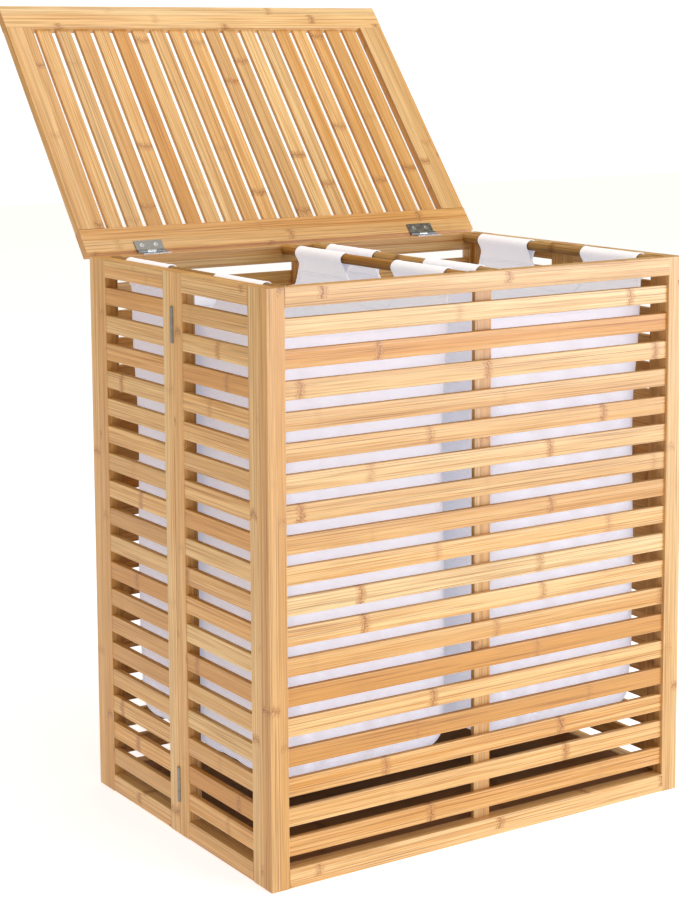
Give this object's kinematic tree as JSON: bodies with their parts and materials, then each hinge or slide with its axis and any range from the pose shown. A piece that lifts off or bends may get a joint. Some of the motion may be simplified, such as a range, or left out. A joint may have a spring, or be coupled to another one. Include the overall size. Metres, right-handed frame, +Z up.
{
  "type": "laundry hamper",
  "caption": "Slatted bamboo laundry hamper with fold-in sides, a hinged slatted lid held open, and lift-out fabric liner bags hung on round rods.",
  "frame": {"origin": "on the floor, under the middle of the front panel's bottom rail", "axes": "+Z up, +X to the right seen from the front, front faces -Y"},
  "size_m": [0.5648, 0.6503, 0.9285],
  "materials": {
    "bamboo_frame": "satin clear lacquer on caramelised-to-natural bamboo bars",
    "bamboo_slat": "satin clear lacquer on natural bamboo slats",
    "bamboo_rod": "satin turned bamboo",
    "base_panel": "satin bamboo board",
    "liner_cloth": "matt woven polyester, white",
    "hinge_steel": "polished zinc-plated steel",
    "screw_steel": "zinc-plated steel"
  },
  "bodies": {
    "frame": {"front_left_stile": "bamboo_frame", "front_right_stile": "bamboo_frame", "front_top_rail": "bamboo_frame", "front_bottom_rail": "bamboo_frame", "front_mullion": "bamboo_frame", "front_slats": "bamboo_slat", "back_left_stile": "bamboo_frame", "back_right_stile": "bamboo_frame", "back_top_rail": "bamboo_frame", "back_bottom_rail": "bamboo_frame", "back_mullion": "bamboo_frame", "back_slats": "bamboo_slat", "left_front_corner_stile": "bamboo_frame", "left_front_fold_stile": "bamboo_frame", "left_front_top_rail": "bamboo_frame", "left_front_bottom_rail": "bamboo_frame", "left_front_slats": "bamboo_slat", "left_back_corner_stile": "bamboo_frame", "left_back_fold_stile": "bamboo_frame", "left_back_top_rail": "bamboo_frame", "left_back_bottom_rail": "bamboo_frame", "left_back_slats": "bamboo_slat", "right_front_corner_stile": "bamboo_frame", "right_front_fold_stile": "bamboo_frame", "right_front_top_rail": "bamboo_frame", "right_front_bottom_rail": "bamboo_frame", "right_front_slats": "bamboo_slat", "right_back_corner_stile": "bamboo_frame", "right_back_fold_stile": "bamboo_frame", "right_back_top_rail": "bamboo_frame", "right_back_bottom_rail": "bamboo_frame", "right_back_slats": "bamboo_slat", "base_board": "base_panel", "base_cleats": "bamboo_frame", "lid_hinge_frame_leaves": "hinge_steel", "lid_hinge_pins": "hinge_steel", "frame_leaf_screws": "screw_steel", "corner_hinge_leaves": "hinge_steel", "corner_hinge_pins": "hinge_steel", "fold_hinge_leaves": "hinge_steel", "fold_hinge_pins": "hinge_steel", "side_hinge_screws": "screw_steel"},
    "lid": {"lid_left_stile": "bamboo_frame", "lid_right_stile": "bamboo_frame", "lid_front_rail": "bamboo_frame", "lid_rear_rail": "bamboo_frame", "lid_slats": "bamboo_slat", "lid_hinge_lid_leaves": "hinge_steel", "lid_leaf_screws": "screw_steel"},
    "left_liner": {"left_liner_bag": "liner_cloth", "left_outer_rod": "bamboo_rod", "left_inner_rod": "bamboo_rod"},
    "right_liner": {"right_liner_bag": "liner_cloth", "right_inner_rod": "bamboo_rod", "right_outer_rod": "bamboo_rod"}
  },
  "joints": [
    {"name": "lid_hinge", "type": "hinge", "parent": "frame", "child": "lid", "pos_m": [0, 0.3942, 0.6364], "axis": [1, 0, 0], "range_deg": [0, 129]},
    {"name": "left_liner_lift", "type": "slide", "parent": "frame", "child": "left_liner", "axis": [0, 0, 1], "range_m": [0, 0.6]},
    {"name": "right_liner_lift", "type": "slide", "parent": "frame", "child": "right_liner", "axis": [0, 0, 1], "range_m": [0, 0.6]}
  ]
}
